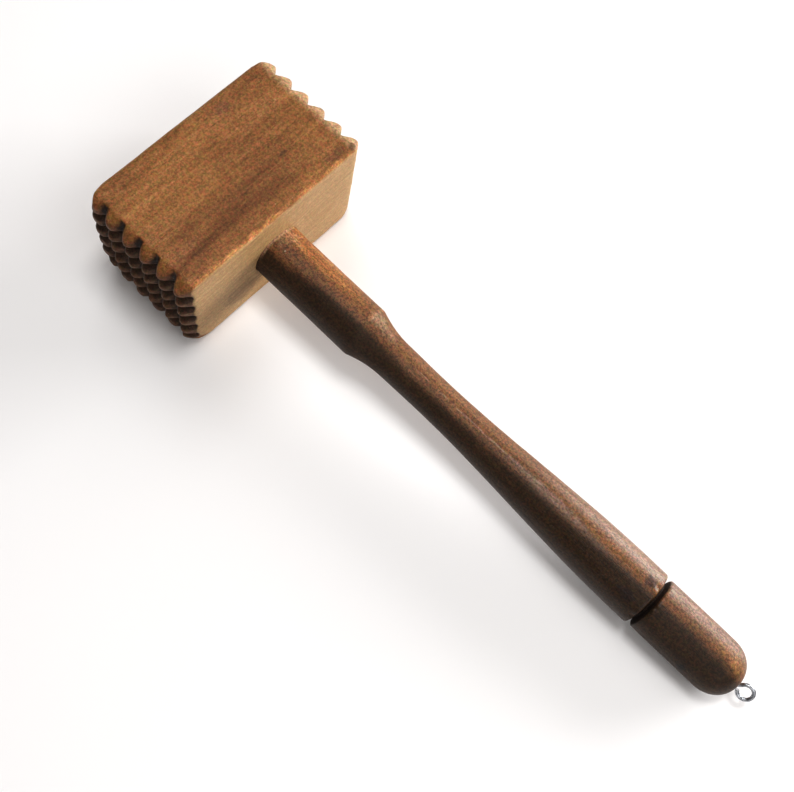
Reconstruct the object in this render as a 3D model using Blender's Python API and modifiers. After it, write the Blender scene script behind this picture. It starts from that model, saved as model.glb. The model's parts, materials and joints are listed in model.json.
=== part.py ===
"""Wooden meat mallet: a block head with toothed ends, a turned handle and a screw eye to hang it by.

Everything is modelled in the mallet's own axes, in metres: X runs along the handle from the head to the
knob, Y runs along the head from one toothed face to the other, and the origin is the head's centre.
All parts hang on one empty. It is turned until the head's lower edge and the underside of the knob both
touch a level surface at z = 0, which is how the mallet lies when it is put down.
"""

import math

import bmesh
import bpy
import numpy as np
from mathutils import Matrix, Vector

GAP = 0.0003  # clearance between two pieces that fit together

# Head
HEAD_DEPTH = 0.060
HEAD_HEIGHT = 0.060
ROOT_LENGTH = 0.0932  # between the roots of the teeth on the two toothed faces
TOOTH_HEIGHT = 0.0060
TOOTH_TOP = 0.0010  # width of the flat on top of each tooth
TEETH_PER_SIDE = 6
TOOTH_PITCH = HEAD_DEPTH / TEETH_PER_SIDE
EDGE_GROOVE_SHIFT = 0.0002  # how far outside the head's edges the outermost grooves are centred
HEAD_LENGTH = ROOT_LENGTH + 2 * TOOTH_HEIGHT
POLL_EDGE_RADIUS = 0.0035  # long edges of the face away from the handle, worn round
NECK_EDGE_RADIUS = 0.0020  # long edges of the face that the handle enters
POLL_CORNER_LEFT = 0.0110  # upright corners of the face away from the handle, worn round
POLL_CORNER_RIGHT = 0.0090
CORNER_SEGMENTS = 6
EDGE_SEGMENTS = 4
BORE_DEPTH = 0.045
BORE_OVERSHOOT = 0.005  # how far the bore's cutter runs out of the head's face
CUTTER_EXCESS = 0.0002  # how far a cutter's widest line stands outside the face it cuts

# Handle, with stations measured from the head's face
NECK_RADIUS = 0.0125
NECK_LENGTH = 0.0537
COVE_LENGTH = 0.0180
COVE_RADIUS = 0.0091
WAIST_STATION = 0.0920
WAIST_RADIUS = 0.0088
GRIP_STATION = 0.2050
GRIP_RADIUS = 0.0131
GRIP_END = 0.2147
GROOVE_WIDTH = 0.0027
GROOVE_FLOOR_WIDTH = 0.0008
GROOVE_FLOOR_RADIUS = 0.0092
KNOB_RADIUS = 0.0126
DOME_STATION = 0.2508
HANDLE_END = 0.2640
DOME_EXPONENT = 2.2
HOLE_FLAT_SHARE = 0.12  # share of the dome's quarter turn that is flat, around the screw eye's hole
TENON_CHAMFER = 0.0010
TURNED_EDGE = 0.0005
AROUND = 48  # facets around the handle and its bore
DOME_STEPS = 12
GRIP_STEPS = 18
WAIST_STEPS = 3
COVE_STEPS = 7

# Screw eye
WIRE_RADIUS = 0.0010
RING_RADIUS = 0.00325  # at the middle of the wire
RING_TURN = math.radians(42)  # how far the ring is turned about the handle's axis
RING_START = math.radians(150)
RING_END = math.radians(-145)
RING_STEPS = 32
SHANK_DEPTH = 0.018
POINT_LENGTH = 0.004
POINT_THICKNESS = 0.25  # share of the wire's thickness that is left at the point
BEND_START = RING_RADIUS + 2.2 * WIRE_RADIUS  # from the ring's centre to where the shank begins to bend
BEND_CORNER = RING_RADIUS + 1.2 * WIRE_RADIUS  # from the ring's centre to where the bend's tangents meet
BEND_STEPS = 4
EYE_STANDOFF = 0.0001  # between the ring and the end of the handle
EYE_CENTRE = HEAD_DEPTH / 2 + HANDLE_END + EYE_STANDOFF + RING_RADIUS + WIRE_RADIUS

# Lying down
STEEPEST_TILT = math.radians(20)
TILT_TOLERANCE = 1e-9


def clear_scene():
    for old in list(bpy.data.objects):
        bpy.data.objects.remove(old, do_unlink=True)


def new_collection(name):
    made = bpy.data.collections.new(name)
    bpy.context.scene.collection.children.link(made)
    return made


def new_material(name, colour, roughness, metallic=0.0):
    made = bpy.data.materials.new(name)
    made.use_nodes = True
    shader = made.node_tree.nodes["Principled BSDF"]
    shader.inputs["Base Color"].default_value = (*colour, 1.0)
    shader.inputs["Roughness"].default_value = roughness
    shader.inputs["Metallic"].default_value = metallic
    made.diffuse_color = (*colour, 1.0)
    return made


def object_from(bm, name, collection):
    mesh = bpy.data.meshes.new(name)
    bm.to_mesh(mesh)
    bm.free()
    made = bpy.data.objects.new(name, mesh)
    collection.objects.link(made)
    return made


def add_box(bm, size, matrix):
    scale = Matrix.Diagonal((*size, 1.0))
    bmesh.ops.create_cube(bm, size=1.0, matrix=matrix @ scale)


def new_cutter(bm, name):
    cutter = object_from(bm, name, cutters)
    cutter.hide_render = True
    cutter.display_type = "WIRE"
    cutter.parent = mallet
    return cutter


def cut(target, cutter):
    boolean = target.modifiers.new(cutter.name, "BOOLEAN")
    boolean.operation = "DIFFERENCE"
    boolean.solver = "EXACT"
    boolean.object = cutter


def round_upright_corners(bm):
    """Rounds the two upright corners away from the handle, each to its own radius."""
    for side_y, radius in ((-1, POLL_CORNER_LEFT), (1, POLL_CORNER_RIGHT)):
        at = Vector((-HEAD_DEPTH / 2, side_y * HEAD_LENGTH / 2))
        upright = [
            edge
            for edge in bm.edges
            if all((vertex.co.xy - at).length < CUTTER_EXCESS for vertex in edge.verts)
        ]
        bmesh.ops.bevel(
            bm,
            geom=upright,
            offset=radius,
            offset_type="OFFSET",
            segments=CORNER_SEGMENTS,
            profile=0.5,
            affect="EDGES",
        )


def weight_outline_edges(bm):
    """Marks the edges of the top and bottom faces, so that one Bevel rounds the poll side more."""
    weight = bm.edges.layers.float.new("bevel_weight_edge")
    for edge in bm.edges:
        if abs(edge.verts[0].co.z - edge.verts[1].co.z) < CUTTER_EXCESS:
            middle = (edge.verts[0].co.x + edge.verts[1].co.x) / 2
            radius = NECK_EDGE_RADIUS if middle > 0 else POLL_EDGE_RADIUS
            edge[weight] = radius / POLL_EDGE_RADIUS


def groove_bars(name, turned):
    """Bars on edge, one for each V groove of both toothed faces, and one along each outer edge."""
    bm = bmesh.new()
    half_depth = TOOTH_HEIGHT + CUTTER_EXCESS
    half_width = (TOOTH_PITCH - TOOTH_TOP) / 2 * half_depth / TOOTH_HEIGHT
    square = math.sqrt(2)
    length = 2 * HEAD_DEPTH
    on_edge = Matrix.Rotation(math.radians(45), 4, "Z")
    slender = Matrix.Diagonal((half_width, half_depth, 1.0, 1.0))
    across = Matrix.Rotation(math.radians(90), 4, "Y") if turned else Matrix.Identity(4)
    for end in (-1, 1):
        for index in range(TEETH_PER_SIDE + 1):
            offset = (index - TEETH_PER_SIDE / 2) * TOOTH_PITCH
            if index in (0, TEETH_PER_SIDE):
                offset += math.copysign(EDGE_GROOVE_SHIFT, offset)
            centre_y = end * (ROOT_LENGTH / 2 + half_depth)
            centre = (0, centre_y, offset) if turned else (offset, centre_y, 0)
            place = Matrix.Translation(centre) @ across @ slender @ on_edge
            add_box(bm, (square, square, length), place)
    return new_cutter(bm, name)


def bore_cutter():
    bm = bmesh.new()
    bmesh.ops.create_cone(
        bm,
        cap_ends=True,
        segments=AROUND,
        radius1=NECK_RADIUS + GAP,
        radius2=NECK_RADIUS + GAP,
        depth=BORE_DEPTH + BORE_OVERSHOOT,
    )
    along_x = Matrix.Rotation(math.radians(90), 4, "Y")
    middle = HEAD_DEPTH / 2 + (BORE_OVERSHOOT - BORE_DEPTH) / 2
    bmesh.ops.transform(bm, matrix=Matrix.Translation((middle, 0, 0)) @ along_x, verts=bm.verts)
    return new_cutter(bm, "tenon_bore")


def make_head(material):
    bm = bmesh.new()
    add_box(bm, (HEAD_DEPTH, HEAD_LENGTH, HEAD_HEIGHT), Matrix.Identity(4))
    round_upright_corners(bm)
    weight_outline_edges(bm)
    head = object_from(bm, "head_block", parts)
    head.data.materials.append(material)
    head.parent = mallet
    bevel = head.modifiers.new("worn_edges", "BEVEL")
    bevel.limit_method = "WEIGHT"
    bevel.width = POLL_EDGE_RADIUS
    bevel.segments = EDGE_SEGMENTS
    bevel.use_clamp_overlap = False
    cut(head, groove_bars("grooves_up_the_faces", turned=False))
    cut(head, groove_bars("grooves_across_the_faces", turned=True))
    cut(head, bore_cutter())
    return head


def ease(start, end, share):
    """A smooth S between two values, level at both ends."""
    return start + (end - start) * (1 - math.cos(math.pi * share)) / 2


def spread(count):
    """Shares from just after 0 up to 1."""
    return [index / count for index in range(1, count + 1)]


def dome_point(share):
    """(station, radius) on the knob's end, from the middle of the end at 0 to the knob's side at 1."""
    angle = share * math.pi / 2
    station = DOME_STATION + (HANDLE_END - DOME_STATION) * math.cos(angle) ** (2 / DOME_EXPONENT)
    return station, KNOB_RADIUS * math.sin(angle) ** (2 / DOME_EXPONENT)


def handle_outline():
    """(station, radius) pairs down the handle's outside, from the screw eye's hole to the tenon's end."""
    hole_radius = WIRE_RADIUS + GAP
    hole_bottom = HANDLE_END - SHANK_DEPTH - GAP
    hole_mouth = dome_point(HOLE_FLAT_SHARE)[0]
    points = [(hole_bottom, 0.0), (hole_bottom, hole_radius), (hole_mouth, hole_radius)]
    points += [dome_point(share) for share in [HOLE_FLAT_SHARE] + spread(DOME_STEPS)[1:]]
    knob_start = GRIP_END + GROOVE_WIDTH
    slope = (GROOVE_WIDTH - GROOVE_FLOOR_WIDTH) / 2
    points += [
        (knob_start + TURNED_EDGE, KNOB_RADIUS),
        (knob_start, KNOB_RADIUS - TURNED_EDGE),
        (knob_start - slope, GROOVE_FLOOR_RADIUS),
        (GRIP_END + slope, GROOVE_FLOOR_RADIUS),
        (GRIP_END, GRIP_RADIUS - TURNED_EDGE),
        (GRIP_END - TURNED_EDGE, GRIP_RADIUS),
        (GRIP_STATION, GRIP_RADIUS),
    ]
    for share in spread(GRIP_STEPS):
        station = GRIP_STATION + (WAIST_STATION - GRIP_STATION) * share
        points.append((station, ease(GRIP_RADIUS, WAIST_RADIUS, share)))
    cove_end = NECK_LENGTH + COVE_LENGTH
    for share in spread(WAIST_STEPS):
        station = WAIST_STATION + (cove_end - WAIST_STATION) * share
        points.append((station, ease(WAIST_RADIUS, COVE_RADIUS, share)))
    for share in spread(COVE_STEPS):
        radius = COVE_RADIUS + (NECK_RADIUS - COVE_RADIUS) * share**2
        points.append((cove_end - COVE_LENGTH * share, radius))
    tenon_end = GAP - BORE_DEPTH
    points += [
        (tenon_end + TENON_CHAMFER, NECK_RADIUS),
        (tenon_end, NECK_RADIUS - TENON_CHAMFER),
        (tenon_end, 0.0),
    ]
    return points


def make_handle(material):
    bm = bmesh.new()
    ring = [bm.verts.new((radius, 0.0, station)) for station, radius in handle_outline()]
    for first, second in zip(ring, ring[1:]):
        bm.edges.new((first, second))
    handle = object_from(bm, "handle", parts)
    handle.data.materials.append(material)
    handle.parent = mallet
    handle.location.x = HEAD_DEPTH / 2
    handle.rotation_euler.y = math.radians(90)
    screw = handle.modifiers.new("turning", "SCREW")
    screw.axis = "Z"
    screw.steps = AROUND
    screw.render_steps = AROUND
    screw.use_merge_vertices = True
    screw.merge_threshold = 0.00001
    screw.use_smooth_shade = True
    return handle


def eye_route():
    """Middle line of the wire in the ring's plane, as (along the handle, across it, share of thickness)."""
    point = HEAD_DEPTH / 2 + HANDLE_END - SHANK_DEPTH - EYE_CENTRE
    route = [(point, 0.0, POINT_THICKNESS), (point + POINT_LENGTH, 0.0, 1.0), (-BEND_START, 0.0, 1.0)]
    bend_start = Vector((-BEND_START, 0.0))
    bend_corner = Vector((-BEND_CORNER, 0.0))
    ring_start = Vector((math.cos(RING_START), math.sin(RING_START))) * RING_RADIUS
    for share in spread(BEND_STEPS)[:-1]:
        straight = bend_start.lerp(bend_corner, share)
        turning = bend_corner.lerp(ring_start, share)
        route.append((*straight.lerp(turning, share), 1.0))
    for step in range(RING_STEPS + 1):
        angle = RING_START + (RING_END - RING_START) * step / RING_STEPS
        route.append((math.cos(angle) * RING_RADIUS, math.sin(angle) * RING_RADIUS, 1.0))
    return route


def make_screw_eye(material):
    curve = bpy.data.curves.new("screw_eye", "CURVE")
    curve.dimensions = "3D"
    curve.bevel_depth = WIRE_RADIUS
    curve.bevel_resolution = 3
    curve.use_fill_caps = True
    route = eye_route()
    spline = curve.splines.new("POLY")
    spline.points.add(len(route) - 1)
    for point, (along, across, thickness) in zip(spline.points, route):
        point.co = (along, across, 0.0, 1.0)
        point.radius = thickness
    eye = bpy.data.objects.new("screw_eye", curve)
    parts.objects.link(eye)
    curve.materials.append(material)
    eye.parent = mallet
    eye.location.x = EYE_CENTRE
    eye.rotation_euler.x = RING_TURN
    return eye


def corners_of(part):
    """Every vertex of a part as it is shown, in the mallet's own axes."""
    shown = part.evaluated_get(bpy.context.evaluated_depsgraph_get())
    mesh = shown.to_mesh()
    points = np.empty(3 * len(mesh.vertices))
    mesh.vertices.foreach_get("co", points)
    shown.to_mesh_clear()
    local = np.array(mallet.matrix_world.inverted() @ part.matrix_world)
    return points.reshape(-1, 3) @ local[:3, :3].T + local[:3, 3]


def lowest(points, tilt):
    return (points[:, 2] * math.cos(tilt) - points[:, 0] * math.sin(tilt)).min()


def lay_down(head, handle, eye):
    """Tilts the mallet until head and handle touch the surface together, and puts it over the origin."""
    bpy.context.view_layer.update()
    head_points = corners_of(head)
    handle_points = corners_of(handle)
    least, most = 0.0, STEEPEST_TILT
    while most - least > TILT_TOLERANCE:
        tilt = (least + most) / 2
        if lowest(handle_points, tilt) > lowest(head_points, tilt):
            least = tilt
        else:
            most = tilt
    turn = np.array(Matrix.Rotation(tilt, 3, "Y"))
    everything = np.vstack((head_points, handle_points, corners_of(eye))) @ turn.T
    middle = (everything.min(axis=0) + everything.max(axis=0)) / 2
    mallet.rotation_euler.y = tilt
    mallet.location = (-middle[0], -middle[1], -everything[:, 2].min())


clear_scene()
parts = new_collection("meat_mallet")
cutters = new_collection("cutters")
mallet = bpy.data.objects.new("mallet", None)
parts.objects.link(mallet)
head_wood = new_material("head_wood", (0.29, 0.13, 0.06), 0.55)
handle_wood = new_material("handle_wood", (0.17, 0.08, 0.04), 0.42)
steel = new_material("zinc_plated_steel", (0.62, 0.63, 0.64), 0.30, metallic=1.0)
lay_down(make_head(head_wood), make_handle(handle_wood), make_screw_eye(steel))
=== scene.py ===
"""Wooden meat mallet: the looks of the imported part, on a pale floor under soft light."""

import json
import math

import bmesh
import bpy
import numpy as np
from mathutils import Matrix, Vector


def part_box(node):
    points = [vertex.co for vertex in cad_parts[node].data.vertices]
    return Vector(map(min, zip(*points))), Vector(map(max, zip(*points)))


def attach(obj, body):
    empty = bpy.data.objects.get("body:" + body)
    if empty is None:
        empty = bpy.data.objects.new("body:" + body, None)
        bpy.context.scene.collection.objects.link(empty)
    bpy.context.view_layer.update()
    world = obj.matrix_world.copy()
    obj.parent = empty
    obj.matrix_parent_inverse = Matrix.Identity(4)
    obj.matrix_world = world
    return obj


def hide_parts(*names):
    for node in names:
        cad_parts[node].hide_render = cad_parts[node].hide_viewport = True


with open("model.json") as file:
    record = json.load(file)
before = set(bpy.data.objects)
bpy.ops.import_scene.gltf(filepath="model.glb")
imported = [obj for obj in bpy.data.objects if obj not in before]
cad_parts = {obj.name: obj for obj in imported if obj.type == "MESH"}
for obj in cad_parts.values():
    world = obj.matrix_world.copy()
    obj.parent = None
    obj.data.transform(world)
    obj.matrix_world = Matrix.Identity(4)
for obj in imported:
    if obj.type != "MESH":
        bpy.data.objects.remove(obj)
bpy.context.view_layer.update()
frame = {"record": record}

MM = 0.001
SEED = 433
rng = np.random.default_rng(SEED)

# The mallet's own axes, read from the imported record: X along the handle, Y along the head, Z up.
mounts = {mount["name"]: mount for mount in frame["record"]["mounts"]}
upper = Vector(mounts["upper_side_face"]["pos_m"])
lower = Vector(mounts["lower_side_face"]["pos_m"])
poll = Vector(mounts["poll_face"]["pos_m"])
CENTRE = (upper + lower) / 2
UP = (upper - lower).normalized()
ALONG = (CENTRE - poll).normalized()
SIDE = UP.cross(ALONG).normalized()
MALLET = Matrix.Translation(CENTRE) @ Matrix((ALONG, SIDE, UP)).transposed().to_4x4()
HALF_DEPTH = (CENTRE - poll).length / MM
HALF_HEIGHT = (upper - lower).length / 2 / MM
head_low, head_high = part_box("head_block")
HALF_LENGTH = (head_high.y - head_low.y) / 2 / MM
HALF_SIZE = np.array([HALF_DEPTH, HALF_LENGTH, HALF_HEIGHT])

# Teeth, in millimetres
TEETH = 6  # in a row, and rows on an end
PITCH = 2 * HALF_DEPTH / TEETH
CELLS_PER_TOOTH = 18
TOOTH_HEIGHT = 6.0
ROOT = HALF_LENGTH - TOOTH_HEIGHT
TOP_ROW = HALF_HEIGHT - PITCH  # where the top row begins
FULL_TOOTH = 6.7  # height of a tooth before its point was worn off
EDGE_SHIFT = 0.2  # how far outside the head's edges the outermost grooves are centred
# By the sign of y: the near teeth have worn round, and the far ones are still square.
TOOTH_NORM = {-1: 3.2, 1: 7.0}
TOOTH_BULGE = {-1: 1.25, 1: 1.08}  # over 1, so the sides of a worn tooth are convex
LEAN_X = (-0.05, 0.03)  # how far a point is off the middle of its tooth, as a share of the pitch
LEAN_Z = (0.0, 0.09)
CROWN = (5.3, 5.95)  # heights that the points have worn down to
NEAR_BOTTOM_CROWN = (3.8, 4.3)
NEAR_POLL_CROWN = (3.9, 4.5)
LOW_TEETH = 5  # teeth of each end that are lower than their neighbours
LOW_CROWN = (4.6, 5.2)
CROWN_ROUNDING = 0.9

# Head, in millimetres
POLL_EDGE = 3.5
NECK_EDGE = 2.3
# Upright corners, by the signs of x and y: radius at mid height, and what wear adds at the top and the bottom
CORNERS = {
    (-1, -1): (7.0, 6.0, 9.0),
    (-1, 1): (6.0, 5.0, 5.0),
    (1, -1): (2.0, 1.0, 12.0),
    (1, 1): (2.0, 3.0, 8.0),
}
CORNER_WEAR_START = 14.0
CORNER_ROUNDING = 0.8
FLAT_WEIGHT = 0.22  # how strongly the mesh is relaxed, on the flat faces and what the toothed ones add
TOOTHED_WEIGHT = 0.28
RELAX_ROUNDS = 3
FACE_SHARE = 0.93  # share of a half size beyond which a point belongs to a face
SKIN = 0.01  # how far the worn block keeps inside the sharp one
BORE_RADIUS = 12.62
BORE_DEPTH = 44.9
BORE_OVERSHOOT = 5.0
BORE_AROUND = 96

# Uneven surfaces: depth and wavelength, in millimetres
HEAD_SAG = (0.09, 34)
HEAD_RIPPLE = (0.03, 9)
EDGE_DENTS = (0.55, 7)
TOOTH_CHIPS = (0.16, 4.5)
HANDLE_SAG = (0.07, 46)
HANDLE_RIPPLE = (0.03, 12)

# Handle, in millimetres, with stations measured from the head's face
NECK_RADIUS = 12.5
NECK_LENGTH = 53.7
COVE_LENGTH = 18.0
COVE_RADIUS = 9.1
WAIST_STATION = 92.0
WAIST_RADIUS = 8.8
GRIP_STATION = 205.0
GRIP_RADIUS = 13.1
GRIP_END = 214.7
GROOVE_WIDTH = 2.7
GROOVE_FLOOR = 0.8
GROOVE_RADIUS = 9.2
LIP = 0.45  # how far the groove's lips are rounded off, and how far where the rounding starts
LIP_START = 0.12
KNOB_START = GRIP_END + GROOVE_WIDTH
KNOB_RADIUS = 12.6
DOME_STATION = 250.8
HANDLE_END = 264.0
DOME_EXPONENT = 2.2
TENON_LENGTH = 44.6
TENON_CHAMFER = 1.0
TENON_INNER_RADIUS = 6.0
HOLE_RADIUS = 1.3
HOLE_CHAMFER = 0.15
HOLE_DEPTH = 18.3
AROUND = 128
# Chips broken out of the groove's lips: station, degrees round the handle from its top, depth and reach
LIP_CHIPS = (
    (214.3, 12, 1.0, 2.2),
    (214.2, 34, 0.5, 1.6),
    (217.6, -20, 0.5, 1.4),
    (214.4, -62, 0.7, 1.8),
    (217.5, 130, 0.6, 1.8),
    (214.4, 170, 0.6, 2.0),
)

# Screw eye, in millimetres, with distances along the shank measured from the ring's middle line
WIRE_RADIUS = 0.8624
WIRE_AROUND = 20
RING_RADIUS = 3.25
RING_START = math.radians(150)
RING_END = math.radians(-154)
RING_STEPS = 72
BEND_START = 2.0
BEND_CORNER = 0.6
BEND_STEPS = 9
SHANK_LENGTH = 18.98
SHANK_RADIUS = 0.98
SHANK_STEPS = 180
POINT_RADIUS = 0.12
POINT_LENGTH = 4.0
THREAD_PITCH = 1.25
THREAD_HEIGHT = 0.17
THREAD_FOOT = 0.22  # half the width of the thread's foot, as a share of the pitch
THREAD_END = 1.2  # how far before the bend the thread ends, and how long it takes to
THREAD_FADE = 0.8


def smooth(low, high, value):
    share = np.clip((value - low) / (high - low), 0.0, 1.0)
    return share * share * (3 - 2 * share)


def waves(points, wavelength, count=14):
    """Smooth seeded noise from -1 to 1 at each point: a sum of plane waves near one wavelength."""
    total = np.zeros(len(points))
    for _ in range(count):
        direction = rng.normal(size=3)
        direction /= np.linalg.norm(direction)
        length = wavelength * rng.uniform(0.7, 1.5)
        phase = rng.uniform(0, 2 * math.pi)
        total += np.sin(points @ direction * (2 * math.pi / length) + phase)
    return np.clip(total / math.sqrt(2 * count), -1, 1)


def hollows(points, depth, wavelength):
    """Seeded depths at each point, from 0 to twice the one given."""
    return depth * (1 + waves(points, wavelength))


def soft_min(first, second, width):
    """The smaller of two heights, with the crease between them rounded over."""
    mix = np.clip(0.5 + (second - first) / (2 * width), 0, 1)
    return second * (1 - mix) + first * mix - width * mix * (1 - mix)


def mesh_piece(name, points, faces, own=Matrix.Identity(4)):
    """A smooth-shaded mesh from points in millimetres, in the mallet's own axes or in axes of its own."""
    mesh = bpy.data.meshes.new(name)
    mesh.from_pydata((points * MM).tolist(), [], faces)
    mesh.validate()
    mesh.transform(MALLET @ own)
    piece = bpy.data.objects.new(name, mesh)
    bpy.context.scene.collection.objects.link(piece)
    mesh.shade_smooth()
    return piece


def apply_modifiers(piece):
    evaluated = piece.evaluated_get(bpy.context.evaluated_depsgraph_get())
    piece.data = bpy.data.meshes.new_from_object(evaluated)
    piece.modifiers.clear()


# ---------------------------------------------------------------- head

def block_grid(cells):
    """The surface of a cube from -1 to 1, as (points, quads), with cells squares along every side."""
    bm = bmesh.new()
    bmesh.ops.create_cube(bm, size=2.0)
    bmesh.ops.subdivide_edges(bm, edges=bm.edges[:], cuts=cells - 1, use_grid_fill=True)
    points = np.array([vertex.co for vertex in bm.verts])
    faces = [[vertex.index for vertex in face.verts] for face in bm.faces]
    bm.free()
    return points, faces


def relax(points, faces, weight, rounds):
    """Rounds a mesh over by moving each point towards the middle of its neighbours."""
    quads = np.array(faces)
    ends = np.vstack([quads[:, [0, 1]], quads[:, [1, 2]], quads[:, [2, 3]], quads[:, [3, 0]]])
    here, there = np.vstack([ends, ends[:, ::-1]]).T
    count = np.bincount(here, minlength=len(points))
    for _ in range(rounds):
        sums = [np.bincount(here, weights=axis[there], minlength=len(points)) for axis in points.T]
        points = points + (np.stack(sums, axis=1) / count[:, None] - points) * weight[:, None]
    return points


def in_tooth(value, half_size):
    """(number of the tooth, place in it from -0.5 to 0.5) in one direction across a toothed face."""
    number = np.clip(((value + half_size) / PITCH).astype(int), 0, TEETH - 1)
    place = (value + half_size) / PITCH - number - 0.5
    wider = 0.5 / (0.5 + EDGE_SHIFT / PITCH)
    outermost = (number == 0) & (place < 0) | (number == TEETH - 1) & (place > 0)
    return number, np.where(outermost, place * wider, place)


def for_each_tooth(span):
    return rng.uniform(*span, (TEETH, TEETH))


def tooth_heights(x, z, end):
    """Height of the worn pyramid teeth of one end over their roots, at points of the toothed face."""
    column, u = in_tooth(x, HALF_DEPTH)
    row, w = in_tooth(z, HALF_HEIGHT)
    lean_x = for_each_tooth(LEAN_X)[column, row]
    lean_z = for_each_tooth(LEAN_Z)[column, row]
    free = (0.5 - np.abs(u)) * (0.5 - np.abs(w)) * 4
    u = u + lean_x * free
    w = w + lean_z * free
    power = TOOTH_NORM[end]
    norm = (np.abs(2 * u) ** power + np.abs(2 * w) ** power) ** (1 / power)
    tall = FULL_TOOTH * (1 - norm ** TOOTH_BULGE[end])
    crown = for_each_tooth(CROWN)
    if end < 0:
        crown[:, 0] = rng.uniform(*NEAR_BOTTOM_CROWN, TEETH)
        crown[0, :] = rng.uniform(*NEAR_POLL_CROWN, TEETH)
    low = rng.integers(0, TEETH, (LOW_TEETH, 2))
    crown[low[:, 0], low[:, 1]] = rng.uniform(*LOW_CROWN, LOW_TEETH)
    return np.clip(soft_min(tall, crown[column, row], CROWN_ROUNDING), 0.0, TOOTH_HEIGHT)


def round_corners(x, z, along):
    """Rounds the four upright corners, seen from above: (x moved inwards, how far out y may reach)."""
    limit = np.full(len(x), 2 * HALF_LENGTH)
    for (x_side, y_side), (slight, top_wear, bottom_wear) in CORNERS.items():
        wear = np.where(z > 0, top_wear, bottom_wear)
        radius = slight + wear * smooth(CORNER_WEAR_START, HALF_HEIGHT, np.abs(z))
        start = HALF_DEPTH - radius
        this_end = np.sign(along) == y_side
        share = np.clip((x_side * x - start) / radius, 0, 1)
        arc_x = x_side * (start + radius * np.sin(share * math.pi / 2))
        x = np.where((share > 0) & this_end, x + (arc_x - x) * np.abs(along) ** 6, x)
        reach = np.clip((x_side * x - start) / radius, 0, 1)
        arc_y = HALF_LENGTH - radius + radius * np.sqrt(np.clip(1 - reach**2, 0, 1))
        limit = np.where((reach > 0) & this_end, arc_y, limit)
    return x, limit


def round_long_edges(x, z):
    """Rounds the four long edges over, more on the poll side."""
    edge = np.where(x < 0, POLL_EDGE, NECK_EDGE)
    over_x = np.abs(x) - (HALF_DEPTH - edge)
    over_z = np.abs(z) - (HALF_HEIGHT - edge)
    corner = (over_x > 0) & (over_z > 0)
    scale = np.maximum(over_x, over_z) / np.where(corner, np.hypot(over_x, over_z), 1.0)
    x = np.where(corner, np.sign(x) * (HALF_DEPTH - edge + over_x * scale), x)
    z = np.where(corner, np.sign(z) * (HALF_HEIGHT - edge + over_z * scale), z)
    return x, z


def wear(points, toothed):
    """Faces that were planed by hand are never quite flat, and dents and chips only go inwards."""
    near_bore = smooth(BORE_RADIUS + 1, BORE_RADIUS + 5, np.hypot(points[:, 1], points[:, 2]))
    near_bore = np.where(points[:, 0] > HALF_DEPTH - 2, near_bore, 1.0)
    sag = (hollows(points, *HEAD_SAG) + hollows(points, *HEAD_RIPPLE)) * near_bore
    inward = points / HALF_SIZE
    inward = inward * (np.abs(inward) > FACE_SHARE)
    inward[:, 1] = 0
    points = points - inward * sag[:, None]
    # Dents along the two long edges over and under the handle
    outward = points[:, 0] + np.abs(points[:, 2]) - HALF_DEPTH - HALF_HEIGHT
    near_edge = smooth(-2.8, -0.6, outward) * (1 - toothed)
    depth, wavelength = EDGE_DENTS
    dents = depth * np.clip(waves(points, wavelength) - 0.1, 0, 1) * near_edge
    points[:, 0] -= dents
    points[:, 2] -= np.sign(points[:, 2]) * dents
    depth, wavelength = TOOTH_CHIPS
    chips = depth * np.clip(waves(points, wavelength), 0, 1) * toothed
    points[:, 1] -= np.sign(points[:, 1]) * chips
    return points


def make_head():
    points, faces = block_grid(TEETH * CELLS_PER_TOOTH)
    across, along, up = points.T
    z = up * HALF_HEIGHT
    x, limit = round_corners(across * HALF_DEPTH, z, along)
    height = np.where(along > 0, tooth_heights(x, z, 1), tooth_heights(x, z, -1))
    y = along * np.minimum(soft_min(ROOT + height, limit, CORNER_ROUNDING), HALF_LENGTH)
    x, z = round_long_edges(x, z)
    toothed = smooth(ROOT - 3, ROOT, np.abs(y))
    points = np.stack([x, y, z], axis=1)
    points = relax(points, faces, FLAT_WEIGHT + TOOTHED_WEIGHT * toothed, RELAX_ROUNDS)
    points = np.clip(wear(points, toothed), SKIN - HALF_SIZE, HALF_SIZE - SKIN)
    head = mesh_piece("mallet_head", points, faces)
    cut_bore(head)
    head.data.shade_smooth()
    head.data.set_sharp_from_angle(angle=math.radians(50))
    return head


def cut_bore(head):
    bm = bmesh.new()
    bmesh.ops.create_cone(
        bm,
        cap_ends=True,
        segments=BORE_AROUND,
        radius1=BORE_RADIUS * MM,
        radius2=BORE_RADIUS * MM,
        depth=(BORE_DEPTH + BORE_OVERSHOOT) * MM,
    )
    middle = HALF_DEPTH + (BORE_OVERSHOOT - BORE_DEPTH) / 2
    turn = Matrix.Rotation(math.radians(90), 4, "Y")
    bmesh.ops.transform(bm, matrix=Matrix.Translation((middle * MM, 0, 0)) @ turn, verts=bm.verts)
    mesh = bpy.data.meshes.new("bore")
    bm.to_mesh(mesh)
    bm.free()
    cutter = bpy.data.objects.new("bore", mesh)
    bpy.context.scene.collection.objects.link(cutter)
    cutter.matrix_world = MALLET
    boolean = head.modifiers.new("bore", "BOOLEAN")
    boolean.operation = "DIFFERENCE"
    boolean.solver = "EXACT"
    boolean.object = cutter
    bpy.context.view_layer.update()
    apply_modifiers(head)
    bpy.data.objects.remove(cutter, do_unlink=True)
    bpy.data.meshes.remove(mesh)


# ---------------------------------------------------------------- handle

def straight(first, last, radius, count):
    """(station, radius) pairs of a straight length."""
    return [(station, radius) for station in np.linspace(first, last, count)]


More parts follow.
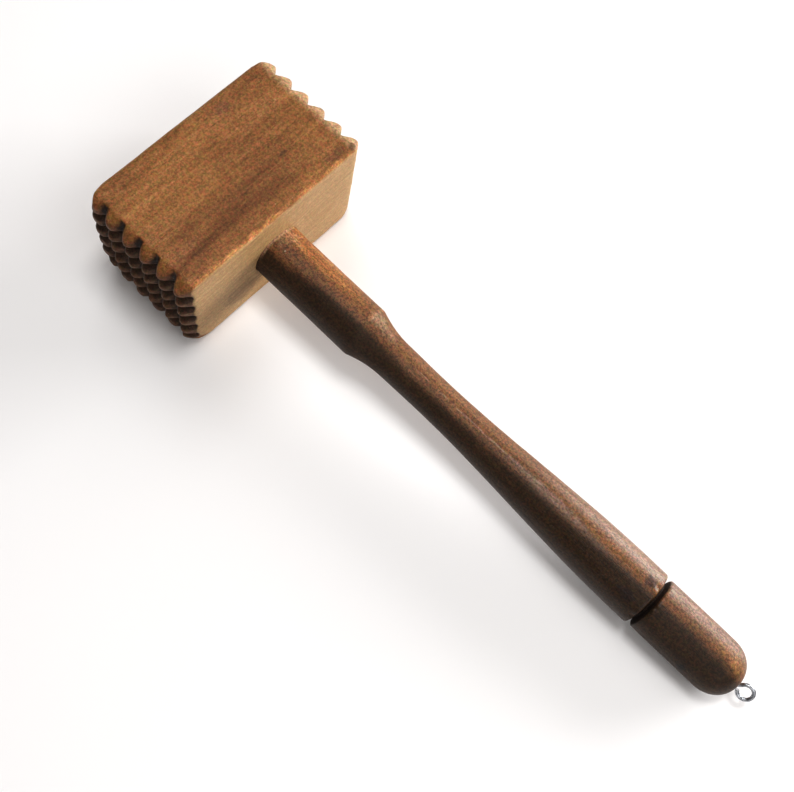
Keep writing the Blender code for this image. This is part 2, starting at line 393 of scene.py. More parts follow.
def eased(first, last, start, end, steps):
    """(station, radius) pairs after the first station, with the radius easing from start to end."""
    shares = np.linspace(0, 1, steps + 1)[1:]
    radii = start + (end - start) * (1 - np.cos(math.pi * shares)) / 2
    return list(zip(first + (last - first) * shares, radii))


def cove():
    shares = np.linspace(0.02, 1, 26)
    radii = NECK_RADIUS + (COVE_RADIUS - NECK_RADIUS) * (1 - (1 - shares) ** 2)
    return list(zip(NECK_LENGTH + COVE_LENGTH * shares, radii))


def groove():
    slope = (GROOVE_WIDTH - GROOVE_FLOOR) / 2
    points = [(GRIP_END - 0.3, GRIP_RADIUS - LIP_START), (GRIP_END, GRIP_RADIUS - LIP)]
    for share in (0.25, 0.5, 0.75, 0.93):
        radius = GRIP_RADIUS - LIP + (GROOVE_RADIUS - GRIP_RADIUS + LIP) * share
        points.append((GRIP_END + slope * share, radius))
    points += straight(GRIP_END + slope + 0.1, KNOB_START - slope - 0.1, GROOVE_RADIUS, 2)
    for share in (0.07, 0.25, 0.5, 0.75, 1.0):
        radius = GROOVE_RADIUS + (KNOB_RADIUS - LIP - GROOVE_RADIUS) * share
        points.append((KNOB_START - slope * (1 - share), radius))
    return points + [(KNOB_START + 0.3, KNOB_RADIUS - LIP_START)]


def dome():
    """The knob's round end, as far as the mouth of the screw's hole."""
    points = []
    for share in np.linspace(1, 0.1, 30):
        angle = share * math.pi / 2
        station = DOME_STATION + (HANDLE_END - DOME_STATION) * math.cos(angle) ** (2 / DOME_EXPONENT)
        points.append((station, KNOB_RADIUS * math.sin(angle) ** (2 / DOME_EXPONENT)))
    return points


def handle_profile():
    """(station, radius) pairs from the tenon's end to the bottom of the screw's hole in the knob's end."""
    points = [(-TENON_LENGTH, radius) for radius in (0.0, TENON_INNER_RADIUS, NECK_RADIUS - TENON_CHAMFER)]
    points.append((-TENON_LENGTH + TENON_CHAMFER, NECK_RADIUS))
    points += straight(-TENON_LENGTH + 2, 0, NECK_RADIUS, 12)
    points += straight(1, NECK_LENGTH - 0.4, NECK_RADIUS, 50)
    points += cove()
    points += eased(NECK_LENGTH + COVE_LENGTH, WAIST_STATION, COVE_RADIUS, WAIST_RADIUS, 20)
    points += eased(WAIST_STATION, GRIP_STATION, WAIST_RADIUS, GRIP_RADIUS, 100)
    points += straight(GRIP_STATION + 1, GRIP_END - 0.7, GRIP_RADIUS, 9)
    points += groove()
    points += straight(KNOB_START + 0.7, DOME_STATION - 0.5, KNOB_RADIUS, 32)
    points += dome()
    mouth = points[-1][0]
    points += [(mouth, HOLE_RADIUS + HOLE_CHAMFER), (mouth - 2 * HOLE_CHAMFER, HOLE_RADIUS)]
    points += [(HANDLE_END - HOLE_DEPTH, radius) for radius in (HOLE_RADIUS, 0.0)]
    return np.array(points)


def turned(profile, around):
    """A closed turned mesh about X from (station, radius) pairs that start and end on the axis."""
    points = [(profile[0, 0], 0.0, 0.0)]
    angles = np.arange(around) * 2 * math.pi / around
    for station, radius in profile[1:-1]:
        points += [(station, radius * math.sin(angle), radius * math.cos(angle)) for angle in angles]
    points.append((profile[-1, 0], 0.0, 0.0))
    faces = []
    rings = len(profile) - 2
    last = len(points) - 1
    for step in range(around):
        after = (step + 1) % around
        faces.append([0, 1 + after, 1 + step])
        for ring in range(rings - 1):
            here = 1 + ring * around
            there = here + around
            faces.append([here + step, here + after, there + after, there + step])
        tail = 1 + (rings - 1) * around
        faces.append([tail + step, tail + after, last])
    return np.array(points), [face[::-1] for face in faces]


def make_handle():
    points, faces = turned(handle_profile(), AROUND)
    station = points[:, 0]
    radius = np.hypot(points[:, 1], points[:, 2])
    angle = np.arctan2(points[:, 1], points[:, 2])
    outside = smooth(2, 8, station) * smooth(3, 6, radius)
    uneven = hollows(points, *HANDLE_SAG) + hollows(points, *HANDLE_RIPPLE)
    points[:, 1:] *= (1 - outside * uneven / np.maximum(radius, 1))[:, None]
    for at_station, at_angle, depth, reach in LIP_CHIPS:
        across = (angle - math.radians(at_angle)) * radius
        distance = np.hypot((station - at_station) / 1.2, across)
        sink = depth * np.clip(1 - distance / reach, 0, 1) * (radius > GROOVE_RADIUS + 0.8)
        points[:, 1:] *= (1 - sink / np.maximum(radius, 1))[:, None]
    points[:, 0] += HALF_DEPTH
    handle = mesh_piece("mallet_handle", points, faces)
    handle.data.set_sharp_from_angle(angle=math.radians(42))
    return handle


# ---------------------------------------------------------------- screw eye

def eye_line():
    """Middle line of the wire in the ring's plane, with the wire's radius at each point."""
    tip = -RING_RADIUS - SHANK_LENGTH
    neck = -RING_RADIUS - BEND_START
    line = [(tip, 0.0, POINT_RADIUS)]
    for along in np.linspace(tip, neck, SHANK_STEPS + 1)[1:]:
        taper = min(1.0, (along - tip) / POINT_LENGTH)
        threaded = smooth(0, 1, (neck - THREAD_END - along) / THREAD_FADE)
        phase = (along - tip) / THREAD_PITCH % 1.0
        crest = max(0.0, 1 - abs(phase - 0.5) / THREAD_FOOT)
        plain = POINT_RADIUS + (SHANK_RADIUS - POINT_RADIUS) * taper
        line.append((along, 0.0, plain + THREAD_HEIGHT * crest * taper * threaded))
    start = np.array([math.cos(RING_START), math.sin(RING_START)]) * RING_RADIUS
    corner = np.array([-RING_RADIUS - BEND_CORNER, 0.0])
    first = np.array([neck, 0.0])
    for share in np.linspace(0, 1, BEND_STEPS + 1)[1:-1]:
        place = (1 - share) ** 2 * first + 2 * share * (1 - share) * corner + share**2 * start
        line.append((*place, WIRE_RADIUS))
    for angle in np.linspace(RING_START, RING_END, RING_STEPS):
        line.append((math.cos(angle) * RING_RADIUS, math.sin(angle) * RING_RADIUS, WIRE_RADIUS))
    return np.array(line)


def make_eye():
    line = eye_line()
    tangent = np.gradient(line[:, :2], axis=0)
    tangent /= np.linalg.norm(tangent, axis=1)[:, None]
    angles = np.arange(WIRE_AROUND) * 2 * math.pi / WIRE_AROUND
    points, faces = [], []
    for (along, across, radius), (t_along, t_across) in zip(line, tangent):
        for angle in angles:
            out = radius * math.cos(angle)
            points.append((along - t_across * out, across + t_along * out, radius * math.sin(angle)))
    last_ring = (len(line) - 1) * WIRE_AROUND
    for here in range(0, last_ring, WIRE_AROUND):
        there = here + WIRE_AROUND
        for step in range(WIRE_AROUND):
            after = (step + 1) % WIRE_AROUND
            faces.append([here + step, here + after, there + after, there + step])
    faces.append(list(range(WIRE_AROUND))[::-1])
    faces.append(list(range(last_ring, last_ring + WIRE_AROUND)))
    centre = MALLET.inverted() @ Vector(mounts["hanging_eye"]["pos_m"])
    axis = MALLET.to_3x3().inverted() @ Vector(mounts["hanging_eye"]["axis"])
    own = Matrix.Translation(centre) @ Matrix.Rotation(math.atan2(-axis.y, axis.z), 4, "X")
    eye = mesh_piece("screw_eye_wire", np.array(points), faces, own)
    eye.data.set_sharp_from_angle(angle=math.radians(60))
    return eye


# ---------------------------------------------------------------- materials

class Graph:
    """Builds one material's nodes. Places and distances are in millimetres, in the mallet's own axes."""

    def __init__(self, name):
        self.material = bpy.data.materials.new(name)
        self.material.use_nodes = True
        self.tree = self.material.node_tree
        self.tree.nodes.clear()
        output = self.tree.nodes.new("ShaderNodeOutputMaterial")
        self.shader = self.tree.nodes.new("ShaderNodeBsdfPrincipled")
        self.tree.links.new(self.shader.outputs[0], output.inputs[0])
        world = self.tree.nodes.new("ShaderNodeTexCoord").outputs["Object"]
        own = self.tree.nodes.new("ShaderNodeMapping")
        own.vector_type = "TEXTURE"
        own.inputs["Location"].default_value = MALLET.to_translation()
        own.inputs["Rotation"].default_value = MALLET.to_euler()
        self.tree.links.new(world, own.inputs["Vector"])
        self.place = own.outputs[0]
        parts = self.tree.nodes.new("ShaderNodeSeparateXYZ")
        self.tree.links.new(self.place, parts.inputs[0])
        self.x, self.y, self.z = (self.math("MULTIPLY", socket, 1 / MM) for socket in parts.outputs)

    def put(self, socket, value):
        if isinstance(value, bpy.types.NodeSocket):
            self.tree.links.new(value, socket)
        elif isinstance(value, tuple):
            socket.default_value = (*value, 1.0)
        else:
            socket.default_value = value

    def math(self, operation, first, second=0.0, third=0.0):
        node = self.tree.nodes.new("ShaderNodeMath")
        node.operation = operation
        for socket, value in zip(node.inputs, (first, second, third)):
            self.put(socket, value)
        return node.outputs[0]

    def plus(self, first, second):
        return self.math("ADD", first, second)

    def minus(self, first, second):
        return self.math("SUBTRACT", first, second)

    def times(self, first, *others):
        for other in others:
            first = self.math("MULTIPLY", first, other)
        return first

    def scaled(self, value, factor, offset):
        """value times factor, plus offset."""
        return self.math("MULTIPLY_ADD", value, factor, offset)

    def noise(self, scale, detail=4.0, roughness=0.55, offset=(0.0, 0.0, 0.0)):
        """Noise from 0 to 1, with its cycles per millimetre along each axis in scale."""
        stretch = self.tree.nodes.new("ShaderNodeMapping")
        stretch.inputs["Scale"].default_value = [value / MM for value in scale]
        stretch.inputs["Location"].default_value = offset
        self.tree.links.new(self.place, stretch.inputs["Vector"])
        node = self.tree.nodes.new("ShaderNodeTexNoise")
        node.inputs["Scale"].default_value = 1.0
        node.inputs["Detail"].default_value = detail
        node.inputs["Roughness"].default_value = roughness
        self.tree.links.new(stretch.outputs[0], node.inputs["Vector"])
        return node.outputs[0]

    def sway(self, scale, size, detail=4.0):
        """Noise about 0, from minus half the size to half the size."""
        return self.times(self.minus(self.noise(scale, detail), 0.5), size)

    def step(self, value, low, high):
        """A smooth step from 0 at low to 1 at high; low may be the larger."""
        node = self.tree.nodes.new("ShaderNodeMapRange")
        node.interpolation_type = "SMOOTHSTEP"
        self.put(node.inputs["Value"], value)
        flip = low > high
        node.inputs["From Min"].default_value = min(low, high)
        node.inputs["From Max"].default_value = max(low, high)
        node.inputs["To Min"].default_value = 1.0 if flip else 0.0
        node.inputs["To Max"].default_value = 0.0 if flip else 1.0
        return node.outputs[0]

    def zone(self, value, start, full, fading, end):
        """1 between full and fading, and 0 outside start and end."""
        return self.times(self.step(value, start, full), self.step(value, end, fading))

    def spot(self, at, size):
        """1 at a point of the surface, falling to 0 at size from it, with an uneven rim."""
        total = 0.0
        for value, middle, reach in zip((self.x, self.y, self.z), at, size):
            off = self.math("DIVIDE", self.minus(value, middle), reach)
            total = self.scaled(off, off, total)
        distance = self.plus(self.math("SQRT", total), self.sway((0.45, 0.45, 0.45), 2.0))
        return self.step(distance, 1.15, 0.55)

    def from_groove(self, value):
        """Distance from the nearest groove between teeth, across the toothed face in one direction."""
        value = self.math("MINIMUM", self.math("ABSOLUTE", value), HALF_DEPTH - PITCH / 2)
        return self.math("PINGPONG", value, PITCH / 2)

    def mix(self, share, first, second, blend="MIX"):
        node = self.tree.nodes.new("ShaderNodeMix")
        node.data_type = "RGBA"
        node.blend_type = blend
        self.put(node.inputs["Factor"], share)
        self.put(node.inputs[6], first)
        self.put(node.inputs[7], second)
        return node.outputs[2]

    def patches(self, scale, first, second):
        """Large soft patches of two colours."""
        patchy = self.noise(scale, 3.0, 0.5, offset=(6.0, 3.0, 1.0))
        return self.mix(self.step(patchy, 0.35, 0.65), first, second)

    def bump(self, height, distance, strength, normal=None):
        node = self.tree.nodes.new("ShaderNodeBump")
        node.inputs["Distance"].default_value = distance * MM
        node.inputs["Strength"].default_value = strength
        self.tree.links.new(height, node.inputs["Height"])
        if normal is not None:
            self.tree.links.new(normal, node.inputs["Normal"])
        return node.outputs[0]

    def finish(self, colour, roughness, normal):
        self.put(self.shader.inputs["Base Color"], colour)
        self.put(self.shader.inputs["Roughness"], roughness)
        self.put(self.shader.inputs["Normal"], normal)
        return self.material


# Tints of the grain, which multiply the colour under them
NO_TINT = (1.0, 1.0, 1.0)
DARK_TINT = (0.60, 0.54, 0.52)
PALE_TINT = (1.42, 1.55, 1.75)
PORE_TINT = (0.28, 0.26, 0.25)
RED_TINT = (1.16, 0.86, 0.92)
OLIVE_TINT = (0.90, 1.10, 0.84)

# Colours of the head
HEAD_BROWNS = ((0.235, 0.108, 0.040), (0.275, 0.132, 0.047))
BAND_BROWN = (0.105, 0.038, 0.014)
TOP_TEETH_BROWN = (0.142, 0.062, 0.031)
LOWER_TEETH_BROWN = (0.100, 0.053, 0.031)
FAR_TEETH_LIT_TAN = (0.385, 0.262, 0.155)
TOOTH_SHADE_BLACK = (0.012, 0.006, 0.004)
CROWN_HIGHLIGHT_TAN = (0.22, 0.125, 0.075)
RUBBED_ORANGE = (0.46, 0.225, 0.092)
FRONT_REFLECTION_TAN = (0.43, 0.29, 0.152)
POLL_EDGE_TAN = (0.42, 0.235, 0.105)
FLECK_TAN = (0.5, 0.33, 0.22)

# Stains of the head, and a painted shadow of the neck on the face beside the handle: place, size and colour
HEAD_STAINS_AND_SHADOW = (
    ((27.4, 46.0, 29.2), (1.7, 3.6, 2.4), (0.085, 0.032, 0.018)),
    ((25.4, 37.0, 30.0), (2.6, 6.5, 2.0), (0.14, 0.060, 0.031)),
    ((10.3, 22.3, 30.0), (0.9, 3.2, 2.0), (0.07, 0.032, 0.022)),
    ((-22.5, 18.8, 30.0), (3.0, 4.5, 2.0), (0.17, 0.08, 0.042)),
    ((19.0, -38.0, 30.0), (9.0, 12.0, 3.0), (0.18, 0.075, 0.032)),
    # A painted shadow of the neck, on the face under and beside the handle
    ((30.0, -20.0, -13.0), (3.0, 11.0, 8.0), (0.22, 0.135, 0.07)),
)

# Colours of the handle
HANDLE_BROWNS = ((0.140, 0.062, 0.024), (0.175, 0.080, 0.031))
SIDE_SHADE_BROWN = (0.028, 0.0145, 0.006)
NECK_LIGHT_TINT = (1.75, 1.7, 1.45)
GRIP_SHEEN = (0.26, 0.185, 0.145)
KNOB_SHEEN = (0.235, 0.185, 0.168)
SHOULDER_TAN = (0.29, 0.15, 0.075)
SEAM_TAN = (0.44, 0.29, 0.19)
HIGHLIGHT_LINE_TAN = (0.27, 0.19, 0.15)
GROOVE_SHADE_BROWN = (0.016, 0.008, 0.005)

# Marks of the handle: (station, y, z), size, strength and colour
HANDLE_MARKS = (
    ((3.0, 3.4, 12.0), (7.0, 5.5, 6.0), 0.4, (0.33, 0.22, 0.13)),
    ((57.0, 5.2, 10.4), (5.0, 4.2, 4.0), 0.42, (0.23, 0.175, 0.11)),
    ((63.0, 4.0, 9.0), (6.0, 3.5, 4.0), 0.3, (0.22, 0.14, 0.10)),
    ((7.0, -2.3, 12.2), (0.5, 0.5, 0.8), 0.45, (0.5, 0.4, 0.3)),
    ((209.5, 2.2, 12.8), (3.8, 2.6, 3.0), 0.75, (0.036, 0.016, 0.012)),
    # A painted highlight: the pale stripe along the top of the grip, beside the painted highlight line
    ((154.0, 0.2, 12.0), (24.0, 1.9, 5.0), 0.35, (0.20, 0.15, 0.13)),
    ((206.0, -8.0, 10.0), (4.0, 3.0, 3.0), 0.8, (0.022, 0.012, 0.010)),
    ((241.8, -12.2, 2.4), (2.2, 1.6, 2.6), 0.9, (0.008, 0.004, 0.003)),
    ((249.0, 3.2, 12.0), (6.0, 3.2, 4.0), 0.55, (0.23, 0.105, 0.036)),
    ((256.0, 2.2, 9.6), (5.0, 4.0, 4.5), 0.65, (0.26, 0.130, 0.050)),
)

STEEL_GREYS = ((0.30, 0.31, 0.33), (0.50, 0.51, 0.53))
BOARD_WHITES = ((0.86, 0.85, 0.85), (0.90, 0.89, 0.885))


def wood(graph, along, ring_centre, ring_width, grittiness):
    """Grain of a piece whose fibres run along one axis, 0 for X and 1 for Y: (tint, relief, tone)."""
    def scale(across, fibre):
        return tuple(fibre if axis == along else across for axis in range(3))

    # Growth rings about a centre that lies outside the piece
    first = graph.minus(graph.y if along == 0 else graph.x, ring_centre[0])
    second = graph.minus(graph.z, ring_centre[1])
    radius = graph.math("SQRT", graph.scaled(first, first, graph.times(second, second)))
    radius = graph.plus(radius, graph.sway(scale(0.035, 0.012), 14.0, 3.0))
    rings = graph.math("FRACT", graph.math("DIVIDE", radius, ring_width))
    rings = graph.zone(rings, 0.0, 0.75, 0.86, 1.0)
    # The tone adds up all that makes the wood lighter or darker.
    streaks = graph.noise(scale(0.55, 0.018), 6.0, 0.62)
    fibres = graph.noise(scale(2.6, 0.16), 5.0, 0.65, offset=(3.1, 1.7, 9.2))
    mottle = graph.noise(scale(0.12, 0.06), 3.0, 0.5, offset=(7.0, 2.0, 5.0))
    speckle = graph.noise(scale(1.3, 0.8), 3.0, 0.7, offset=(1.0, 8.0, 4.0))
    tone = graph.scaled(rings, 0.16, graph.times(streaks, 0.85))
    for part, amount in ((mottle, 0.35), (fibres, 0.45), (speckle, 0.25)):
        tone = graph.scaled(part, amount, tone)
    tint = graph.mix(graph.step(tone, 0.62, 1.02), DARK_TINT, NO_TINT)
    tint = graph.mix(graph.step(tone, 0.98, 1.42), tint, PALE_TINT)
    pores = graph.step(graph.noise(scale(3.6, 0.22), 2.0, 0.5, offset=(5.0, 5.0, 1.0)), 0.40, 0.31)
    tint = graph.mix(graph.times(pores, 0.5), tint, PORE_TINT)
    # Fine mottling of the old surface, part reddish and part olive
    for fineness, offset, colour in (
        (0.95, (4.0, 9.0, 2.0), RED_TINT),
        (0.60, (8.0, 1.0, 6.0), OLIVE_TINT),
    ):
        patch = graph.step(graph.noise((fineness,) * 3, 3.0, 0.75, offset=offset), 0.44, 0.60)
        tint = graph.mix(patch, tint, colour, "MULTIPLY")
    grit = graph.step(graph.noise((0.95, 0.95, 0.95), 3.0, 0.85, offset=(2.0, 6.0, 7.0)), 0.36, 0.64)
    grains = graph.mix(grit, (1 - grittiness,) * 3, (1 + grittiness,) * 3)
    tint = graph.mix(1.0, tint, grains, "MULTIPLY")
    relief = graph.scaled(fibres, 0.6, graph.times(streaks, 0.5))
    relief = graph.scaled(pores, -0.5, relief)
    relief = graph.scaled(grit, 0.12, relief)
    return tint, relief, tone


def dark_band(graph, colour):
    """Broad dark streaks along the grain of the upper face, near the handle's side."""
    streak = graph.noise((0.14, 0.012, 0.05), 3.0, 0.5, offset=(2.0, 0.0, 0.0))
    band = graph.times(graph.zone(graph.x, 4.0, 12.0, 19.0, 27.0), graph.step(graph.z, 20.0, 28.0))
    band = graph.times(band, graph.step(streak, 0.36, 0.6), graph.step(graph.y, 34.0, 12.0), 0.5)
    return graph.mix(band, colour, BAND_BROWN)


def teeth_colours_and_shade(graph, colour):
    """Teeth in darker browns at the near end and a pale tan at the far one, where the tan is painted light,
    with painted shade in the grooves between them.
    """
    height = graph.minus(graph.math("ABSOLUTE", graph.y), ROOT)
    near_end = graph.step(graph.y, 0.0, -10.0)
    ragged = graph.sway((0.4, 0.4, 0.4), 2.4)
    ragged_height = graph.plus(height, ragged)
    toothed = graph.mix(near_end, graph.step(ragged_height, -3.6, 0.8), graph.step(ragged_height, -0.9, 0.9))
    below_rim = graph.step(graph.z, HALF_HEIGHT - 0.2, HALF_HEIGHT - 4.5)
    below_rim = graph.math("MAXIMUM", below_rim, graph.step(graph.y, -10.0, 0.0))
    lower_rows = graph.step(graph.z, TOP_ROW + 4.0, TOP_ROW - 3.0)
    teeth_colour = graph.mix(lower_rows, TOP_TEETH_BROWN, LOWER_TEETH_BROWN)
    # The far end's pale tan is painted light, where the lamps fall on its teeth.
    teeth_colour = graph.mix(near_end, FAR_TEETH_LIT_TAN, teeth_colour)
    colour = graph.mix(graph.times(toothed, below_rim, 0.85), colour, teeth_colour)
    # Painted shade in the grooves, which spreads over the upper flanks of the near end's lower rows, where
    # the row above shades them
    groove = graph.math("MINIMUM", graph.from_groove(graph.x), graph.from_groove(graph.z))
    groove = graph.plus(groove, ragged)
    rows_down = graph.math("DIVIDE", graph.minus(HALF_HEIGHT, graph.z), PITCH)
    below_groove = graph.plus(graph.times(graph.math("FRACT", rows_down), PITCH), ragged)
    flank_shade = graph.times(graph.step(below_groove, 4.4, 2.4), 0.65, near_end)
    flank_shade = graph.times(flank_shade, graph.step(graph.z, TOP_ROW + 0.8, TOP_ROW - 0.2))
    tooth_shade = graph.math("MAXIMUM", graph.step(groove, 2.6, 0.6), flank_shade)
    tooth_shade = graph.times(tooth_shade, graph.step(height, -0.5, 0.3), graph.scaled(near_end, 0.72, 0.22))
    colour = graph.mix(tooth_shade, colour, TOOTH_SHADE_BLACK)
    # The worn crowns are painted paler, as a painted highlight.
    uneven = graph.step(graph.noise((0.5, 0.5, 0.5), 3.0), 0.35, 0.6)
    crown = graph.times(graph.step(groove, 3.5, 4.8), uneven)
    crown = graph.times(crown, graph.step(graph.z, HALF_HEIGHT - 4.5, HALF_HEIGHT - 7.0))
    crown = graph.times(crown, graph.step(height, 2.5, 3.5), 0.7)
    return graph.mix(crown, colour, CROWN_HIGHLIGHT_TAN)


def head_material():
    graph = Graph("worn_head_wood")
    tint, relief, tone = wood(graph, along=1, ring_centre=(-14.0, -95.0), ring_width=3.4, grittiness=0.32)
    colour = graph.patches((0.05, 0.025, 0.05), *HEAD_BROWNS)
    colour = dark_band(graph, colour)
    colour = teeth_colours_and_shade(graph, colour)
    # The long edges of the handle's side are rubbed down to bare orange wood.
    for up in (1.0, -1.0):
        outward = graph.plus(graph.scaled(graph.z, up, graph.x), graph.sway((0.3, 0.14, 0.3), 5.0))
        colour = graph.mix(graph.times(graph.step(outward, 57.5, 59.1), 0.85), colour, RUBBED_ORANGE)
    # The face around the handle is smoother, and painted paler and yellower as a painted reflection of the
    # bright floor.
    front = graph.step(graph.x, HALF_DEPTH - 0.8, HALF_DEPTH - 0.2)
    colour = graph.mix(graph.times(front, 0.8), colour, FRONT_REFLECTION_TAN)
    tint = graph.mix(graph.times(front, 0.5), tint, NO_TINT)
    relief = graph.times(relief, graph.scaled(front, -0.55, 1.0))
    # The long edge over the poll is paler.
    pale_poll_edge = graph.step(graph.minus(graph.z, graph.x), 56.2, 58.6)
    colour = graph.mix(graph.times(pale_poll_edge, 0.7), colour, POLL_EDGE_TAN)
    for at, size, blotch in HEAD_STAINS_AND_SHADOW:
        colour = graph.mix(graph.times(graph.spot(at, size), 0.6), colour, blotch)
    flecks = graph.step(graph.noise((1.5, 0.7, 1.5), 2.0, 0.5, offset=(11.0, 3.0, 8.0)), 0.70, 0.76)
    colour = graph.mix(graph.times(flecks, 0.5), colour, FLECK_TAN)
    normal = graph.bump(relief, 0.22, 0.55)
    normal = graph.bump(graph.noise((0.22, 0.12, 0.22)), 1.0, 0.22, normal)
    graph.shader.inputs["Specular IOR Level"].default_value = 0.22
    roughness = graph.scaled(tone, -0.12, 0.62)
    return graph.finish(graph.mix(1.0, colour, tint, "MULTIPLY"), roughness, normal)


def shaded_side(graph, station, colour):
    """Painted shade darkens the side away from the lamps from end to end, least by the head and most on the
    grip.
    """
    spared = graph.scaled(graph.step(station, 34.0, 12.0), 3.4, 0.8)
    spared = graph.scaled(graph.step(station, 165.0, 188.0), -1.15, spared)
    side = graph.plus(graph.plus(graph.y, spared), graph.sway((0.03, 0.2, 0.2), 5.0, 3.0))
    return graph.mix(graph.times(graph.step(side, 0.6, -4.2), 0.92), colour, SIDE_SHADE_BROWN)


def painted_highlight_line(graph, station, colour):
    """A long pale painted highlight along the top, from the waist over the grip."""
    wandering = graph.plus(graph.y, graph.sway((0.02, 0.02, 0.02), 2.0, 2.0))
    highlight_line = graph.step(graph.math("ABSOLUTE", graph.minus(wandering, 0.6)), 0.75, 0.2)
    highlight_line = graph.times(highlight_line, graph.step(graph.z, 2.0, 5.0))
    highlight_line = graph.times(highlight_line, graph.zone(station, 78.0, 92.0, 158.0, 172.0))
    broken = graph.step(graph.noise((0.12, 0.8, 0.8), 3.0), 0.38, 0.55)
    return graph.mix(graph.times(highlight_line, broken, 0.5), colour, HIGHLIGHT_LINE_TAN)


def handle_material():
    graph = Graph("handled_wood")
    tint, relief, tone = wood(graph, along=0, ring_centre=(5.0, -40.0), ring_width=3.0, grittiness=0.5)
    station = graph.minus(graph.x, HALF_DEPTH)
    colour = graph.patches((0.02, 0.12, 0.12), *HANDLE_BROWNS)
    colour = shaded_side(graph, station, colour)
    # The neck's side towards the lamps is painted paler, as painted light.
    lit_neck = graph.times(graph.step(station, 56.0, 22.0), graph.step(graph.y, -1.0, 6.5), 0.85)
    colour = graph.mix(lit_neck, colour, graph.mix(1.0, colour, NECK_LIGHT_TINT, "MULTIPLY"))
    # The grip and the knob have a pale painted sheen on their side towards the lamps.
    on_knob = graph.step(station, GRIP_END, GRIP_END + 2.0)
    painted_sheen = graph.times(graph.step(station, 130.0, 200.0), graph.step(graph.y, -0.5, 9.0))
    painted_sheen = graph.times(painted_sheen, graph.scaled(on_knob, -0.08, 0.5))
    colour = graph.mix(painted_sheen, colour, graph.mix(on_knob, GRIP_SHEEN, KNOB_SHEEN))
    # The shoulder where the neck ends has a paler rim on top, and the seam by the head is pale.
    shoulder = graph.zone(station, NECK_LENGTH - 2.1, NECK_LENGTH - 0.7, NECK_LENGTH, NECK_LENGTH + 0.7)
    shoulder = graph.times(shoulder, graph.step(graph.y, -3.0, 4.0), 0.5)
    colour = graph.mix(shoulder, colour, SHOULDER_TAN)
    seam = graph.times(graph.step(station, 1.6, 0.4), graph.step(graph.z, 5.0, 11.0), 0.7)
    colour = graph.mix(seam, colour, SEAM_TAN)
    colour = painted_highlight_line(graph, station, colour)
    for (at_station, at_y, at_z), size, strength, mark in HANDLE_MARKS:
        spot = graph.spot((HALF_DEPTH + at_station, at_y, at_z), size)
        colour = graph.mix(graph.times(spot, strength), colour, mark)
    # The groove is painted near black, as painted shade in the recess.
    in_groove = graph.zone(station, GRIP_END + 0.3, GRIP_END + 0.9, GRIP_END + 2.45, GRIP_END + 2.8)
    colour = graph.mix(graph.times(in_groove, 0.9), colour, GROOVE_SHADE_BROWN)
    # The hand has polished the grip, and the cove and the groove are dull.
    roughness = graph.scaled(graph.zone(station, 110.0, 185.0, GRIP_END, GRIP_END + 12.0), -0.14, 0.60)
    roughness = graph.scaled(graph.zone(station, 50.0, 56.0, 66.0, 76.0), 0.14, roughness)
    roughness = graph.scaled(in_groove, 0.4, roughness)
    roughness = graph.scaled(tone, -0.09, roughness)
    normal = graph.bump(relief, 0.18, 0.5)
    normal = graph.bump(graph.noise((0.10, 0.25, 0.25)), 0.8, 0.2, normal)
    graph.shader.inputs["Specular IOR Level"].default_value = 0.36
    return graph.finish(graph.mix(1.0, colour, tint, "MULTIPLY"), roughness, normal)


def steel_material():
    graph = Graph("zinc_plated_wire")
    blotch = graph.noise((0.7, 0.7, 0.7))
    colour = graph.mix(graph.step(blotch, 0.35, 0.7), *STEEL_GREYS)
    normal = graph.bump(graph.noise((2.5, 2.5, 2.5), 3.0), 0.1, 0.3)
    graph.shader.inputs["Metallic"].default_value = 1.0
    return graph.finish(colour, graph.scaled(blotch, 0.25, 0.16), normal)


def floor_material():
    graph = Graph("white_board")
    colour = graph.mix(graph.noise((0.006, 0.006, 0.006), 2.0), *BOARD_WHITES)
    graph.put(graph.shader.inputs["Base Color"], colour)
    graph.shader.inputs["Roughness"].default_value = 0.9
    graph.shader.inputs["Specular IOR Level"].default_value = 0.2
    return graph.material


# ---------------------------------------------------------------- stage

FLOOR_SIZE = 3.0
LIGHT_DISTANCE = 1.2
# Azimuth from X towards Y, elevation, size in metres and power in watts
LIGHTS = (
    ("window", 67.0, 14.0, (0.85, 0.6), 21.0),
    ("ceiling", 90.0, 84.5, (0.24, 0.32), 5.5),
    ("doorway", 0.0, 50.0, (0.6, 0.6), 2.9),
    ("lamp", 315.0, 35.0, (0.6, 0.6), 2.6),
    ("skylight", 150.0, 58.0, (0.5, 0.5), 2.7),
)
ROOM_COLOUR = (1.0, 0.95, 0.92, 1.0)
ROOM_STRENGTH = 0.236
CAMERA_PLACE = (0.06057936, -0.14398649, 0.4347468)
CAMERA_TURN = (20.4780838, -4.32197718, 43.28618262)
CAMERA_LENS = 47.182
GAMMA = 0.8


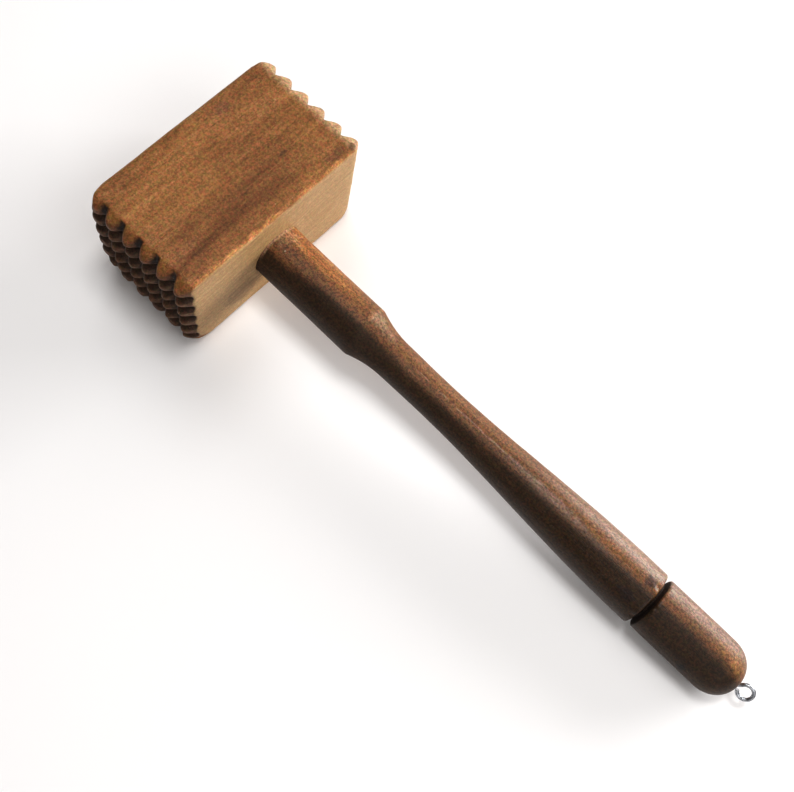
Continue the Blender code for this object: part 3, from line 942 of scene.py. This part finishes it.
def make_floor():
    bm = bmesh.new()
    bmesh.ops.create_grid(bm, x_segments=1, y_segments=1, size=FLOOR_SIZE)
    mesh = bpy.data.meshes.new("floor")
    bm.to_mesh(mesh)
    bm.free()
    floor = bpy.data.objects.new("floor", mesh)
    bpy.context.scene.collection.objects.link(floor)
    floor.data.materials.append(floor_material())


def area_light(name, azimuth, elevation, size, energy):
    """A soft light that looks at the mallet from a direction in degrees."""
    data = bpy.data.lights.new(name, "AREA")
    data.shape = "RECTANGLE"
    data.size, data.size_y = size
    data.energy = energy
    light = bpy.data.objects.new(name, data)
    bpy.context.scene.collection.objects.link(light)
    flat = math.cos(math.radians(elevation))
    turn = math.radians(azimuth)
    place = Vector((math.cos(turn) * flat, math.sin(turn) * flat, math.sin(math.radians(elevation))))
    light.location = place * LIGHT_DISTANCE
    light.rotation_euler = (-place).to_track_quat("-Z", "Y").to_euler()


def make_room():
    for light in LIGHTS:
        area_light(*light)
    world = bpy.data.worlds.new("room")
    world.use_nodes = True
    background = world.node_tree.nodes["Background"]
    background.inputs["Color"].default_value = ROOM_COLOUR
    background.inputs["Strength"].default_value = ROOM_STRENGTH
    bpy.context.scene.world = world


def make_camera():
    data = bpy.data.cameras.new("camera")
    data.lens = CAMERA_LENS
    data.sensor_width = 36.0
    data.clip_start = 0.01
    camera = bpy.data.objects.new("camera", data)
    bpy.context.scene.collection.objects.link(camera)
    camera.location = CAMERA_PLACE
    camera.rotation_euler = [math.radians(angle) for angle in CAMERA_TURN]
    bpy.context.scene.camera = camera
    bpy.context.scene.view_settings.view_transform = "Standard"
    bpy.context.scene.view_settings.look = "None"
    bpy.context.scene.view_settings.gamma = GAMMA


head = make_head()
handle = make_handle()
eye = make_eye()
for piece, node, slot, material in (
    (head, "head_block", "head_wood", head_material()),
    (handle, "handle", "handle_wood", handle_material()),
    (eye, "screw_eye", "zinc_plated_steel", steel_material()),
):
    piece.data.materials.clear()
    piece.data.materials.append(material)
    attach(piece, "root")
    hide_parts(node)
make_floor()
make_room()
make_camera()
